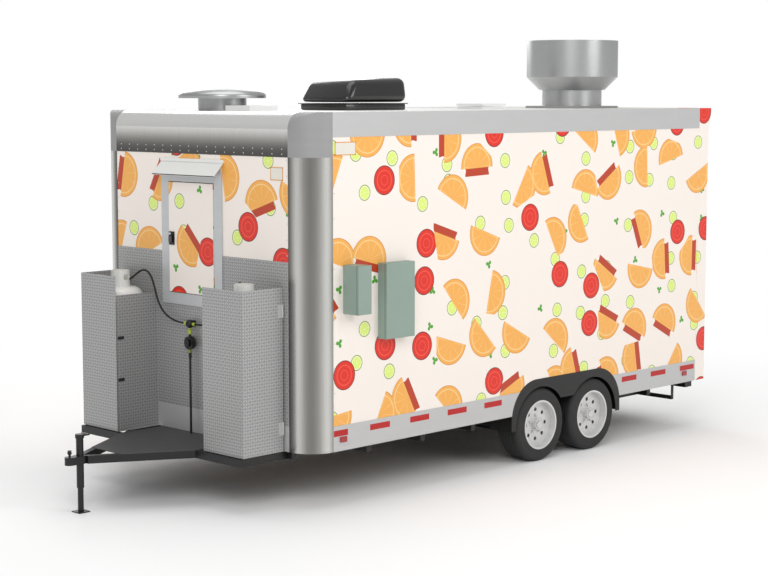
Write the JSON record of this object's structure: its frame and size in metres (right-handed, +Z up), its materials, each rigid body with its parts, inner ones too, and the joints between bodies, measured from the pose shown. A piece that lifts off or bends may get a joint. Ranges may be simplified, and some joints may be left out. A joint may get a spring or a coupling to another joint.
{
  "type": "food trailer",
  "caption": "Enclosed tandem-axle kitchen trailer with a serving hatch, gas tank bays on the tongue, rooftop fan and a printed wrap.",
  "frame": {"origin": "middle of the tongue jack's foot, on the ground", "axes": "+X to the rear along the centreline, +Y to the serving side, which is the trailer's right, +Z up"},
  "size_m": [6.502, 2.793, 3.65],
  "materials": {
    "wrapped_panel": "satin printed film",
    "white_panel": "satin",
    "floor_board": "sealed plywood",
    "polished_aluminium": "polished",
    "grey_aluminium": "satin",
    "tread_plate": "embossed tread",
    "black_steel": "semi-gloss",
    "deck_plate": "textured",
    "zinc_steel": "satin",
    "tank_enamel": "gloss",
    "regulator_enamel": "satin",
    "hose_rubber": "matt",
    "latch_plastic": "matt",
    "stainless": "brushed",
    "window_glass": "clear",
    "satin_handle": "polished",
    "lamp_lens": "gloss",
    "tyre_rubber": "matt",
    "wheel_paint": "silver gloss",
    "box_enamel": "satin",
    "cooler_shroud": "gloss",
    "vent_plastic": "gloss"
  },
  "bodies": {
    "trailer": {"left_wall": "wrapped_panel", "right_wall": "wrapped_panel", "front_wall": "wrapped_panel", "rear_frame": "wrapped_panel", "rear_wall": "white_panel", "roof": "white_panel", "hatch_canopy": "white_panel", "floor": "floor_board", "roof_cap": "polished_aluminium", "corner_posts": "polished_aluminium", "corner_castings": "grey_aluminium", "top_rails": "grey_aluminium", "skirts": "grey_aluminium", "hatch_frame": "grey_aluminium", "serving_frame": "grey_aluminium", "hinge_rails": "grey_aluminium", "stone_guard": "tread_plate", "tank_bays": "tread_plate", "main_rails": "black_steel", "cross_tubes": "black_steel", "tongue_rails": "black_steel", "bay_frame": "black_steel", "coupler": "black_steel", "jack_tube": "black_steel", "fenders": "black_steel", "front_axle": "black_steel", "rear_axle": "black_steel", "rear_bumper": "black_steel", "corner_stays": "black_steel", "tongue_deck": "deck_plate", "gas_tanks": "tank_enamel", "gas_regulator": "regulator_enamel", "left_gas_hose": "hose_rubber", "right_gas_hose": "hose_rubber", "exhaust_fan": "stainless", "mushroom_vent": "stainless", "tail_lamps": "lamp_lens", "inlet_box": "box_enamel", "breaker_box": "box_enamel", "air_conditioner": "cooler_shroud", "vent_curb": "vent_plastic"},
    "wheel_front_left": {"tyre_front_left": "tyre_rubber", "rim_front_left": "wheel_paint"},
    "wheel_front_right": {"tyre_front_right": "tyre_rubber", "rim_front_right": "wheel_paint"},
    "wheel_rear_left": {"tyre_rear_left": "tyre_rubber", "rim_rear_left": "wheel_paint"},
    "wheel_rear_right": {"tyre_rear_right": "tyre_rubber", "rim_rear_right": "wheel_paint"},
    "hatch": {"hatch_door": "wrapped_panel", "hatch_latch": "latch_plastic"},
    "left_door": {"left_bay_door": "tread_plate"},
    "right_door": {"right_bay_door": "tread_plate"},
    "serving_flap": {"serving_hatch": "wrapped_panel"},
    "shelf": {"serving_shelf": "stainless"},
    "entry_door": {"rear_door": "white_panel", "rear_window": "window_glass", "rear_handle": "satin_handle"},
    "lid": {"vent_lid": "vent_plastic"},
    "jack_foot": {"jack_leg": "zinc_steel"}
  },
  "joints": [
    {"name": "wheel_front_left_spin", "type": "hinge", "parent": "trailer", "child": "wheel_front_left", "pos_m": [3.8905, -1.176, 0.317], "axis": [0, 1, 0], "continuous": true},
    {"name": "wheel_front_right_spin", "type": "hinge", "parent": "trailer", "child": "wheel_front_right", "pos_m": [3.8905, 1.176, 0.317], "axis": [0, 1, 0], "continuous": true},
    {"name": "wheel_rear_left_spin", "type": "hinge", "parent": "trailer", "child": "wheel_rear_left", "pos_m": [4.6055, -1.176, 0.317], "axis": [0, 1, 0], "continuous": true},
    {"name": "wheel_rear_right_spin", "type": "hinge", "parent": "trailer", "child": "wheel_rear_right", "pos_m": [4.6055, 1.176, 0.317], "axis": [0, 1, 0], "continuous": true},
    {"name": "hatch_swing", "type": "hinge", "parent": "trailer", "child": "hatch", "pos_m": [1.156, -0.214, 2], "axis": [0, 0, 1], "range_deg": [0, 110]},
    {"name": "left_bay_swing", "type": "hinge", "parent": "trailer", "child": "left_door", "pos_m": [1.166, -1.006, 1], "axis": [0, 0, 1], "range_deg": [0, 90]},
    {"name": "right_bay_swing", "type": "hinge", "parent": "trailer", "child": "right_door", "pos_m": [1.166, 1.006, 1], "axis": [0, 0, -1], "range_deg": [0, 90]},
    {"name": "serving_lift", "type": "hinge", "parent": "trailer", "child": "serving_flap", "pos_m": [3.728, 1.316, 2.352], "axis": [1, 0, 0], "range_deg": [0, 90]},
    {"name": "shelf_fold", "type": "hinge", "parent": "trailer", "child": "shelf", "pos_m": [3.728, 1.316, 1.308], "axis": [1, 0, 0], "range_deg": [0, 90]},
    {"name": "entry_swing", "type": "hinge", "parent": "trailer", "child": "entry_door", "pos_m": [6.338, 0.43, 1.5], "axis": [0, 0, 1], "range_deg": [0, 110]},
    {"name": "lid_lift", "type": "hinge", "parent": "trailer", "child": "lid", "pos_m": [4.37, -0.3, 3.044], "axis": [0, 1, 0], "range_deg": [0, 50]},
    {"name": "jack_raise", "type": "slide", "parent": "trailer", "child": "jack_foot", "axis": [0, 0, 1], "range_m": [0, 0.1]}
  ]
}
